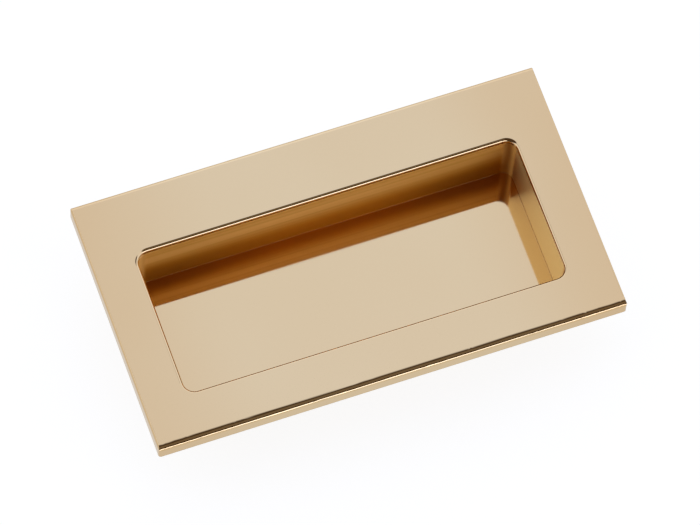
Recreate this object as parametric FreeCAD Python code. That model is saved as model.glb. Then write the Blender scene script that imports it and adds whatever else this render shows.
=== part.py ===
import FreeCAD, Part
import math
import os

# Rectangular flush pull for a sliding pocket door, cast and polished as one piece of brass.
# The long side runs along X, the face looks up along +Z, and the wide border is at +Y.
# The origin is the centre of the plate's back, the plane that seats on the door. Millimetres.

# Face plate
plate_length = 102.0
plate_width = 57.2
plate_thickness = 3.85
plate_corner_radius = 0.6

# Front edge, rolled over by polishing: its reach in over the face, and its drop down the sides
long_edge_reach = 1.9
end_edge_reach = 0.5
edge_drop = 1.05

# Finger pocket: the borders are measured from the plate's sides to the pocket's walls
side_border = 9.5
lower_border = 10.2
upper_border = 14.5
pocket_depth = 15.7
pocket_corner_radius = 2.4
rim_round = 1.0
floor_round = 0.1

# Cup behind the plate, which goes into the door's mortise
cup_wall = 2.4
cup_floor = 2.4
cup_edge_round = 1.2
cup_root_round = 0.8

# Places worked out from the sizes above
half_length = plate_length / 2
half_width = plate_width / 2
edge_start_z = plate_thickness - edge_drop
pocket_x_min = -half_length + side_border
pocket_x_max = half_length - side_border
pocket_y_min = -half_width + lower_border
pocket_y_max = half_width - upper_border
pocket_floor_z = plate_thickness - pocket_depth
cup_bottom_z = pocket_floor_z - cup_floor

TOUCH = 1e-3


def vector(x, y, z):
    return FreeCAD.Vector(x, y, z)


def rounded_block(x_min, x_max, y_min, y_max, z_min, z_max, corner_radius):
    """An upright block with its four standing edges rounded."""
    block = Part.makeBox(x_max - x_min, y_max - y_min, z_max - z_min, vector(x_min, y_min, z_min))
    standing = [edge for edge in block.Edges if edge.BoundBox.ZLength > TOUCH]
    return block.makeFillet(corner_radius, standing)


def level_edges(shape, z):
    """Edges that lie flat at one height."""
    found = []
    for edge in shape.Edges:
        box = edge.BoundBox
        if abs(box.ZMin - z) < TOUCH and abs(box.ZMax - z) < TOUCH:
            found.append(edge)
    return found


def edges_within(edges, reach_x, reach_y, centre_y):
    """The edges of a list that stay inside a rectangle about the pocket's centre."""
    found = []
    for edge in edges:
        box = edge.BoundBox
        inside_x = max(-box.XMin, box.XMax) < reach_x + TOUCH
        inside_y = max(centre_y - box.YMin, box.YMax - centre_y) < reach_y + TOUCH
        if inside_x and inside_y:
            found.append(edge)
    return found


def quarter_ellipse(centre, side, crest):
    """The rolled edge in section, from the top of the straight side up to the face."""
    if (side - centre).Length > (crest - centre).Length:
        return Part.Ellipse(side, crest, centre).toShape(0, math.pi / 2)
    return Part.Ellipse(crest, side, centre).toShape(0, math.pi / 2)


def rolled_section(half_span, reach, place):
    """A section of the plate: flat back, straight sides, and the edges rolled over on to the face."""
    flat = half_span - reach
    edges = [Part.makeLine(place(-half_span, 0), place(half_span, 0))]
    for side in (1, -1):
        foot = place(side * half_span, 0)
        shoulder = place(side * half_span, edge_start_z)
        centre = place(side * flat, edge_start_z)
        crest = place(side * flat, plate_thickness)
        edges.append(Part.makeLine(foot, shoulder))
        edges.append(quarter_ellipse(centre, shoulder, crest))
    edges.append(Part.makeLine(place(flat, plate_thickness), place(-flat, plate_thickness)))
    return Part.Face(Part.Wire(Part.sortEdges(edges)[0]))


def face_plate():
    """The plate: its section across and its section along, which meet in mitres at the rounded corners."""
    across = rolled_section(half_width, long_edge_reach, lambda y, z: vector(-half_length, y, z))
    along = rolled_section(half_length, end_edge_reach, lambda x, z: vector(x, -half_width, z))
    plate = across.extrude(vector(plate_length, 0, 0)).common(along.extrude(vector(0, plate_width, 0)))
    corners = rounded_block(-half_length, half_length, -half_width, half_width, 0, plate_thickness,
                            plate_corner_radius)
    return plate.common(corners)


def cup():
    """The outside of the cup, as thick as its wall around the pocket, up to the plate's mid-plane."""
    block = rounded_block(pocket_x_min - cup_wall, pocket_x_max + cup_wall, pocket_y_min - cup_wall,
                          pocket_y_max + cup_wall, cup_bottom_z, plate_thickness / 2,
                          pocket_corner_radius + cup_wall)
    return block.makeFillet(cup_edge_round, level_edges(block, cup_bottom_z))


def pocket_space():
    """The space that the fingers reach into, open at the face."""
    return rounded_block(pocket_x_min, pocket_x_max, pocket_y_min, pocket_y_max, pocket_floor_z,
                         plate_thickness, pocket_corner_radius)


def pull_body():
    """Plate and cup as one casting, with the pocket sunk into it and its edges rounded."""
    body = face_plate().fuse(cup()).removeSplitter()
    centre_y = (pocket_y_min + pocket_y_max) / 2
    reach_x = pocket_x_max + cup_wall
    reach_y = (pocket_y_max - pocket_y_min) / 2 + cup_wall
    root = edges_within(level_edges(body, 0), reach_x, reach_y, centre_y)
    body = body.makeFillet(cup_root_round, root)
    body = body.cut(pocket_space())
    floor_edges = level_edges(body, pocket_floor_z)
    body = body.makeFillet(floor_round, floor_edges)
    rim_edges = edges_within(level_edges(body, plate_thickness), reach_x, reach_y, centre_y)
    return body.makeFillet(rim_round, rim_edges)


def main():
    os.makedirs("parts", exist_ok=True)
    body = pull_body()
    body.exportStep("parts/pull_body.step")
    box = body.BoundBox
    print("pull_body: valid", body.isValid(), "solids", len(body.Solids), "faces", len(body.Faces))
    print("volume %.1f mm3, size %.2f x %.2f x %.2f" % (body.Volume, box.XLength, box.YLength, box.ZLength))


main()
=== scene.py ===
import math

import bpy
from mathutils import Matrix, Vector


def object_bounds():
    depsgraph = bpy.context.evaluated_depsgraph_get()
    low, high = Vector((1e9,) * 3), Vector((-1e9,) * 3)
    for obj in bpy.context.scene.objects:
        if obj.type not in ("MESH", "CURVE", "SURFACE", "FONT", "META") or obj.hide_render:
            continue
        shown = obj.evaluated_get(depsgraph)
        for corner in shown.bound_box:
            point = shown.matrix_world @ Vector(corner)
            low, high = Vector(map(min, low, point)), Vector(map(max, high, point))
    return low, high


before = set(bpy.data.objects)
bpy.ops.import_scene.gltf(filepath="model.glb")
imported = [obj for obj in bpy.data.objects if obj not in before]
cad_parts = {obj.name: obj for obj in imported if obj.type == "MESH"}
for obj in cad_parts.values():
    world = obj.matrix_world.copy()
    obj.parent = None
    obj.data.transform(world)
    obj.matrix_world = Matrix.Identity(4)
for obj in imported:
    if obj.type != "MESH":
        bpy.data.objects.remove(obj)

CAD_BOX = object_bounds()

# The photograph's width, in pixels
IMAGE_WIDTH = 700

# The camera, as fitted to the plate's and the pocket's edges: metres, degrees and the photograph's pixels
SENSOR_MM = 36.0
LENS_MM = 332.8
CAMERA_DISTANCE = 1.3345
CAMERA_AZIMUTH = -24.52
CAMERA_ELEVATION = 66.16
CAMERA_ROLL = -5.43
FACE_CENTRE_RIGHT_PX = -1.55
FACE_CENTRE_UP_PX = 7.24
CLIP_START = 0.1
CLIP_END = 10.0

# The pocket, in metres, from the plate's sides and face
SIDE_BORDER = 0.0095
LOWER_BORDER = 0.0102
UPPER_BORDER = 0.0145
POCKET_DEPTH = 0.0157
RIM_ROUND = 0.001
FACE_Z = CAD_BOX[1].z
POCKET_FLOOR_Z = FACE_Z - POCKET_DEPTH
POCKET_HALF_LENGTH = CAD_BOX[1].x - SIDE_BORDER
POCKET_Y_MIN = CAD_BOX[0].y + LOWER_BORDER
POCKET_Y_MAX = CAD_BOX[1].y - UPPER_BORDER
POCKET_CENTRE_Y = (POCKET_Y_MIN + POCKET_Y_MAX) / 2
POCKET_HALF_WIDTH = (POCKET_Y_MAX - POCKET_Y_MIN) / 2

# Where one finish meets the next. The rim is polished over most of its round, and a surface that looks
# up more than the limit is the floor. The cast finish ends just above the plate's back.
POCKET_MARGIN = 0.0003
RIM_POLISHED = 0.95
WALL_TOP_Z = FACE_Z - RIM_POLISHED * RIM_ROUND
WALL_UP_LIMIT = 0.97
CAST_TOP_Z = 0.0001

# The tent around the pull, as linear colours: cool white cloth, warmer in front and brighter at the sides,
# a dark opening at the camera with a paler patch in it, a dark card at the right, a seam low on the left,
# and a strip lamp low in front. Angles are in degrees, other limits are parts of a direction of length 1.
TENT = (0.838, 0.911, 1.117)
TENT_FRONT = (0.95, 0.98, 1.08)
TENT_FRONT_FROM = 0.2
TENT_FRONT_TO = 0.6
TENT_SIDES = (1.00, 1.08, 1.30)
TENT_SIDES_FROM = 0.55
TENT_SIDES_TO = 0.25
OPENING = (0.076, 0.05, 0.028)
OPENING_CENTRE = (-0.28, -0.70, 0.66)
OPENING_RADIUS = 45.5
OPENING_SOFT = 5.0
PATCH = (0.18, 0.145, 0.11)
PATCH_CENTRE = (0.17, -0.57, 0.80)
PATCH_RADIUS = 11.5
PATCH_SOFT = 3.0
CARD = (0.06, 0.04, 0.03)
CARD_CENTRE = (0.70, 0.12, 0.70)
CARD_RADIUS = 13.0
CARD_SOFT = 4.0
SEAM = (0.25, 0.25, 0.25)
SEAM_FROM = 51.0
SEAM_TO = 57.0
SEAM_SOFT = 1.5
LAMP = (3.0, 3.15, 3.7)
LAMP_FROM = 10.5
LAMP_TO = 20.5
LAMP_SOFT = 1.0
LAMP_FRONT_FROM = 0.3
LAMP_FRONT_TO = 0.5
LAMP_LEFT = -0.30
LAMP_RIGHT = 0.55
LAMP_END_SOFT = 0.1
BACKDROP = (1.0, 1.0, 1.0)

# The table, as the camera sees it and as the brass mirrors it
TABLE_HALF = 1.5
TABLE_GAP = 0.0001
TABLE_WHITE = (0.9, 0.9, 0.9)
TABLE_SHADE = (0.2, 0.2, 0.2)
TABLE_GLOW = 0.89
TABLE_IN_METAL = (0.75, 0.75, 0.75)

# The levels of a noise at which one tone starts to turn into another and ends doing so, and its mean
NOISE_LOW = 0.3
NOISE_HIGH = 0.7
NOISE_MEAN = 0.5

# The polished face, as linear colours: it gets warmer with the distance from mid-length, and in clouds
BRASS = (0.82, 0.62, 0.36)
BRASS_WARM = (0.775, 0.54, 0.285)
WARM_FROM = 0.022
WARM_TO = 0.054
WARM_AT_ENDS = 0.8
WARM_IN_CLOUDS = 0.2
CLOUD_STRETCH = (28, 28, 28)
CLOUD_DETAIL = 1.0
FACE_ROUGH = 0.03
CLOUD_ROUGH = 0.02

# The pocket's brushed walls, in a deeper orange than the face's brass, which is painted bounce light
# between the brass walls.
# The painted shade at the foot follows the depth below the face, the painted shade towards the ends the
# distance from mid-length, and the painted lighter tone of the end walls and the painted shade in the
# corners the direction in which they look.
WALL_BOUNCE_BRASS = (1.00, 0.59, 0.16)
WALL_BOUNCE_DARK_STREAK = (0.88, 0.47, 0.10)
WALL_ROUGH = 0.62
WALL_ANISOTROPY = 0.9
BRUSHED_TURN = 0.25
BRUSHED_STRETCH = (12, 12, 800)
BRUSHED_DETAIL = 4.0
BRUSHED_RELIEF = 0.000016
# Painted shade, deepening towards the foot of the walls
WALL_FOOT_SHADE = (0.93, 0.40, 0.028)
FOOT_SHADE_FROM = 0.0055
FOOT_SHADE_TO = 0.0120
WALL_SHADED = (0.60, 0.25, 0.018)
SHADED_FROM = 0.006
SHADED_TO = 0.040
SHADED_AT_TOP = 0.25
SHADED_AT_FOOT = 1.0
# A painted lighter tone on the end walls, which are also smoother
END_LIT_BRASS = (0.94, 0.67, 0.25)
END_ROUGH = 0.34
END_FROM = 0.97
END_TO = 0.999
# Painted shade in the corners of the pocket
CORNER_SHADE = (0.74, 0.38, 0.09)
CORNER_SHADE_FROM = 0.03
CORNER_SHADE_TO = 0.30

# The cast back
CAST_BRASS = (0.70, 0.50, 0.26)
CAST_DARK = (0.62, 0.43, 0.21)
CAST_ROUGH = 0.42
CAST_STRETCH = (2600, 2600, 2600)
CAST_DETAIL = 2.0
CAST_RELIEF = 0.00002


def add_camera():
    """A long lens, looking down on the face as in the photograph."""
    azimuth = math.radians(CAMERA_AZIMUTH)
    elevation = math.radians(CAMERA_ELEVATION)
    roll = math.radians(CAMERA_ROLL)
    back = Vector((math.sin(azimuth) * math.cos(elevation), -math.cos(azimuth) * math.cos(elevation),
                   math.sin(elevation)))
    level_right = Vector((0, 0, 1)).cross(back).normalized()
    level_up = back.cross(level_right)
    up = level_up * math.cos(roll) + level_right * math.sin(roll)
    right = up.cross(back)

    focal_px = LENS_MM / SENSOR_MM * IMAGE_WIDTH
    metres_per_px = CAMERA_DISTANCE / focal_px
    face_centre = Vector((0, 0, FACE_Z))
    aim = face_centre - (right * FACE_CENTRE_RIGHT_PX + up * FACE_CENTRE_UP_PX) * metres_per_px

    data = bpy.data.cameras.new("camera")
    data.sensor_width = SENSOR_MM
    data.lens = LENS_MM
    data.clip_start = CLIP_START
    data.clip_end = CLIP_END
    camera = bpy.data.objects.new("camera", data)
    axes = Matrix((right, up, back)).transposed().to_4x4()
    camera.matrix_world = Matrix.Translation(aim + back * CAMERA_DISTANCE) @ axes
    bpy.context.scene.collection.objects.link(camera)
    bpy.context.scene.camera = camera


class Graph:
    """Short ways to add nodes to one node tree."""

    def __init__(self, tree):
        self.nodes = tree.nodes
        self.links = tree.links

    def add(self, kind):
        return self.nodes.new(kind)

    def feed(self, value, socket):
        """Link a socket to a node's output, or set it to a number or a colour."""
        if isinstance(value, bpy.types.NodeSocket):
            self.links.new(value, socket)
        elif isinstance(value, tuple) and socket.type == "RGBA":
            socket.default_value = (*value, 1)
        else:
            socket.default_value = value

    def math(self, operation, *values):
        node = self.add("ShaderNodeMath")
        node.operation = operation
        for value, socket in zip(values, node.inputs):
            self.feed(value, socket)
        return node.outputs[0]

    def both(self, first, second):
        """The product of two masks, or of a mask and a number."""
        return self.math("MULTIPLY", first, second)

    def within(self, value, limit):
        """1 where a value is nearer to nought than the limit."""
        return self.math("LESS_THAN", self.math("ABSOLUTE", value), limit)

    def split(self, vector):
        node = self.add("ShaderNodeSeparateXYZ")
        self.feed(vector, node.inputs[0])
        return node.outputs["X"], node.outputs["Y"], node.outputs["Z"]

    def ramp(self, value, low, high):
        """From 0 at low to 1 at high, with soft ends."""
        node = self.add("ShaderNodeMapRange")
        node.interpolation_type = "SMOOTHSTEP"
        self.feed(value, node.inputs["Value"])
        node.inputs["From Min"].default_value = low
        node.inputs["From Max"].default_value = high
        return node.outputs["Result"]

    def band(self, value, low, high, soft):
        """1 between low and high, with soft limits."""
        rise = self.ramp(value, low - soft, low + soft)
        fall = self.ramp(value, high + soft, high - soft)
        return self.both(rise, fall)

    def between(self, factor, first, second):
        """A number that goes from first to second."""
        node = self.add("ShaderNodeMix")
        self.feed(factor, node.inputs[0])
        self.feed(first, node.inputs[2])
        self.feed(second, node.inputs[3])
        return node.outputs[0]

    def blend(self, factor, first, second):
        """A colour that goes from first to second."""
        node = self.add("ShaderNodeMix")
        node.data_type = "RGBA"
        colours = [socket for socket in node.inputs if socket.type == "RGBA"]
        self.feed(factor, node.inputs["Factor"])
        self.feed(first, colours[0])
        self.feed(second, colours[1])
        return [socket for socket in node.outputs if socket.type == "RGBA"][0]

    def noise(self, place, stretch, detail):
        """A noise with so many waves to the metre along each axis."""
        mapping = self.add("ShaderNodeMapping")
        mapping.inputs["Scale"].default_value = stretch
        self.feed(place, mapping.inputs["Vector"])
        node = self.add("ShaderNodeTexNoise")
        self.feed(mapping.outputs[0], node.inputs["Vector"])
        node.inputs["Scale"].default_value = 1.0
        node.inputs["Detail"].default_value = detail
        return node.outputs[0]

    def tone(self, noise, low_colour, high_colour):
        """A colour that follows a noise."""
        return self.blend(self.ramp(noise, NOISE_LOW, NOISE_HIGH), low_colour, high_colour)

    def relief(self, noise, height):
        """A noise as a height in metres, with its mean at nought."""
        return self.both(self.math("SUBTRACT", noise, NOISE_MEAN), height)

    def bump(self, height):
        """The normal of a relief whose heights are in metres."""
        node = self.add("ShaderNodeBump")
        node.inputs["Strength"].default_value = 1.0
        node.inputs["Distance"].default_value = 1.0
        self.feed(height, node.inputs["Height"])
        return node.outputs["Normal"]

    def patch(self, direction, centre, radius, soft):
        """1 within an angle of one direction, with a soft limit."""
        toward = self.add("ShaderNodeVectorMath")
        toward.operation = "DOT_PRODUCT"
        self.feed(direction, toward.inputs[0])
        toward.inputs[1].default_value = Vector(centre).normalized()
        away = self.math("DEGREES", self.math("ARCCOSINE", toward.outputs["Value"]))
        return self.ramp(away, radius + soft, radius - soft)


def table_white():
    """White that keeps a faint shadow, and that the brass mirrors at an even level."""
    material = bpy.data.materials.new("table_white")
    material.use_nodes = True
    material.node_tree.nodes.clear()
    graph = Graph(material.node_tree)
    path = graph.add("ShaderNodeLightPath")
    seen = path.outputs["Is Camera Ray"]
    shade = graph.add("ShaderNodeBsdfDiffuse")
    graph.feed(graph.blend(seen, TABLE_WHITE, TABLE_SHADE), shade.inputs["Color"])
    glow = graph.add("ShaderNodeEmission")
    graph.feed(graph.both(seen, TABLE_GLOW), glow.inputs["Strength"])
    lit = graph.add("ShaderNodeAddShader")
    graph.feed(shade.outputs[0], lit.inputs[0])
    graph.feed(glow.outputs[0], lit.inputs[1])
    mirrored = graph.add("ShaderNodeEmission")
    graph.feed(TABLE_IN_METAL, mirrored.inputs["Color"])
    mix = graph.add("ShaderNodeMixShader")
    graph.feed(path.outputs["Is Glossy Ray"], mix.inputs["Fac"])
    graph.feed(lit.outputs[0], mix.inputs[1])
    graph.feed(mirrored.outputs[0], mix.inputs[2])
    out = graph.add("ShaderNodeOutputMaterial")
    graph.feed(mix.outputs[0], out.inputs["Surface"])
    return material


def add_table():
    """A wide white table under the cup."""
    z = CAD_BOX[0].z - TABLE_GAP
    corners = [(-TABLE_HALF, -TABLE_HALF, z), (TABLE_HALF, -TABLE_HALF, z),
               (TABLE_HALF, TABLE_HALF, z), (-TABLE_HALF, TABLE_HALF, z)]
    mesh = bpy.data.meshes.new("table")
    mesh.from_pydata(corners, [], [(0, 1, 2, 3)])
    mesh.materials.append(table_white())
    table = bpy.data.objects.new("table", mesh)
    bpy.context.scene.collection.objects.link(table)


def tent_colour(graph, direction):
    """The tent's light from each direction, with the dark and bright places that the polish mirrors."""
    x, y, z = graph.split(direction)
    to_left = graph.math("MULTIPLY", x, -1.0)
    to_front = graph.math("MULTIPLY", y, -1.0)
    lean_left = graph.math("DEGREES", graph.math("ARCTAN2", to_left, z))
    height = graph.math("DEGREES", graph.math("ARCTAN2", z, to_front))

    front = graph.ramp(to_front, TENT_FRONT_FROM, TENT_FRONT_TO)
    sides = graph.ramp(z, TENT_SIDES_FROM, TENT_SIDES_TO)
    seam = graph.band(lean_left, SEAM_FROM, SEAM_TO, SEAM_SOFT)
    card = graph.patch(direction, CARD_CENTRE, CARD_RADIUS, CARD_SOFT)
    opening = graph.patch(direction, OPENING_CENTRE, OPENING_RADIUS, OPENING_SOFT)
    patch = graph.patch(direction, PATCH_CENTRE, PATCH_RADIUS, PATCH_SOFT)
    strip = graph.band(height, LAMP_FROM, LAMP_TO, LAMP_SOFT)
    strip_in_front = graph.both(strip, graph.ramp(to_front, LAMP_FRONT_FROM, LAMP_FRONT_TO))
    lamp = graph.both(strip_in_front, graph.band(x, LAMP_LEFT, LAMP_RIGHT, LAMP_END_SOFT))

    colour = TENT
    for place, place_colour in ((front, TENT_FRONT), (sides, TENT_SIDES), (seam, SEAM), (card, CARD),
                                (opening, OPENING), (patch, PATCH), (lamp, LAMP)):
        colour = graph.blend(place, colour, place_colour)
    return colour


def add_tent():
    """The light: a tent all round the pull, which the camera itself sees as a white backdrop."""
    world = bpy.data.worlds.new("tent")
    bpy.context.scene.world = world
    world.use_nodes = True
    world.node_tree.nodes.clear()
    graph = Graph(world.node_tree)
    direction = graph.add("ShaderNodeTexCoord").outputs["Generated"]
    seen = graph.add("ShaderNodeLightPath").outputs["Is Camera Ray"]
    glow = graph.add("ShaderNodeBackground")
    graph.feed(graph.blend(seen, tent_colour(graph, direction), BACKDROP), glow.inputs["Color"])
    out = graph.add("ShaderNodeOutputWorld")
    graph.feed(glow.outputs[0], out.inputs["Surface"])


def face_finish(graph, place, x):
    """Mirror polish, a little warmer towards the two ends and unevenly buffed."""
    clouds = graph.noise(place, CLOUD_STRETCH, CLOUD_DETAIL)
    ends = graph.ramp(graph.math("ABSOLUTE", x), WARM_FROM, WARM_TO)
    buffed = graph.ramp(clouds, NOISE_LOW, NOISE_HIGH)
    warmth = graph.math("ADD", graph.both(ends, WARM_AT_ENDS), graph.both(buffed, WARM_IN_CLOUDS))
    colour = graph.blend(warmth, BRASS, BRASS_WARM)
    rough = graph.math("ADD", graph.both(clouds, CLOUD_ROUGH), FACE_ROUGH)
    return colour, rough


def wall_finish(graph, place, x, z, facing):
    """The pocket's walls: brushed lengthwise in a painted bounce-light orange, with painted shade at the
    foot, towards the ends and in the corners, and smoother on the two ends, which get a painted lighter
    tone.
    """
    streaks = graph.noise(place, BRUSHED_STRETCH, BRUSHED_DETAIL)
    # Painted shade, deepening towards the foot
    foot = graph.ramp(z, FACE_Z - FOOT_SHADE_FROM, FACE_Z - FOOT_SHADE_TO)
    toward_end = graph.ramp(graph.math("ABSOLUTE", x), SHADED_FROM, SHADED_TO)
    shaded = graph.both(toward_end, graph.between(foot, SHADED_AT_TOP, SHADED_AT_FOOT))
    # The end walls: smoother, with a painted lighter tone
    end_wall = graph.ramp(graph.math("ABSOLUTE", facing[0]), END_FROM, END_TO)
    # Painted shade in the corners, where the walls turn
    turn = graph.math("ABSOLUTE", graph.both(facing[0], facing[1]))
    corner = graph.ramp(turn, CORNER_SHADE_FROM, CORNER_SHADE_TO)

    # Painted bounce light: the brushed streaks go between two tones of a deeper orange than the face's
    # brass
    colour = graph.tone(streaks, WALL_BOUNCE_DARK_STREAK, WALL_BOUNCE_BRASS)
    for part, part_colour in ((foot, WALL_FOOT_SHADE), (shaded, WALL_SHADED), (end_wall, END_LIT_BRASS),
                              (corner, CORNER_SHADE)):
        colour = graph.blend(part, colour, part_colour)
    rough = graph.between(end_wall, WALL_ROUGH, END_ROUGH)
    return colour, rough, graph.relief(streaks, BRUSHED_RELIEF)


def cast_finish(graph, place):
    """The back and the outside of the cup: a fine grain, left as cast."""
    grain = graph.noise(place, CAST_STRETCH, CAST_DETAIL)
    return graph.tone(grain, CAST_DARK, CAST_BRASS), graph.relief(grain, CAST_RELIEF)


def finish_masks(graph, x, y, z, facing_up):
    """1 on the pocket's walls, and 1 on the cast back."""
    from_centre_y = graph.math("SUBTRACT", y, POCKET_CENTRE_Y)
    in_plan = graph.both(graph.within(x, POCKET_HALF_LENGTH + POCKET_MARGIN),
                         graph.within(from_centre_y, POCKET_HALF_WIDTH + POCKET_MARGIN))
    above_floor = graph.math("GREATER_THAN", z, POCKET_FLOOR_Z - POCKET_MARGIN)
    in_pocket = graph.both(in_plan, above_floor)
    below_rim = graph.math("LESS_THAN", z, WALL_TOP_Z)
    upright = graph.math("LESS_THAN", facing_up, WALL_UP_LIMIT)
    wall = graph.both(graph.both(in_pocket, below_rim), upright)
    low = graph.math("LESS_THAN", z, CAST_TOP_Z)
    behind = graph.both(low, graph.math("SUBTRACT", 1.0, in_pocket))
    return wall, behind


def brushed_metal(graph):
    """The shader, with brushing that runs level around the pocket."""
    shader = graph.nodes["Principled BSDF"]
    shader.inputs["Metallic"].default_value = 1.0
    shader.inputs["Anisotropic"].default_value = WALL_ANISOTROPY
    shader.inputs["Anisotropic Rotation"].default_value = BRUSHED_TURN
    tangent = graph.add("ShaderNodeTangent")
    tangent.direction_type = "RADIAL"
    tangent.axis = "Z"
    graph.feed(tangent.outputs[0], shader.inputs["Tangent"])
    return shader


def polished_brass():
    """One brass: polished in front, brushed in the pocket, and left as cast behind."""
    material = bpy.data.materials.new("polished_brass")
    material.use_nodes = True
    graph = Graph(material.node_tree)
    shader = brushed_metal(graph)
    place = graph.add("ShaderNodeTexCoord").outputs["Object"]
    x, y, z = graph.split(place)
    facing = graph.split(graph.add("ShaderNodeNewGeometry").outputs["Normal"])
    wall, behind = finish_masks(graph, x, y, z, facing[2])

    face_colour, face_rough = face_finish(graph, place, x)
    wall_colour, wall_rough, wall_relief = wall_finish(graph, place, x, z, facing)
    cast_colour, cast_relief = cast_finish(graph, place)
    colour = graph.blend(behind, graph.blend(wall, face_colour, wall_colour), cast_colour)
    rough = graph.between(behind, graph.between(wall, face_rough, wall_rough), CAST_ROUGH)
    height = graph.math("ADD", graph.both(wall, wall_relief), graph.both(behind, cast_relief))
    graph.feed(colour, shader.inputs["Base Color"])
    graph.feed(rough, shader.inputs["Roughness"])
    graph.feed(graph.bump(height), shader.inputs["Normal"])
    return material


def dress_pull():
    """The CAD node keeps its shape and gets the brass."""
    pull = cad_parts["pull_body"]
    pull.data.materials.clear()
    pull.data.materials.append(polished_brass())


bpy.context.scene.view_settings.view_transform = "Standard"
add_camera()
add_table()
add_tent()
dress_pull()
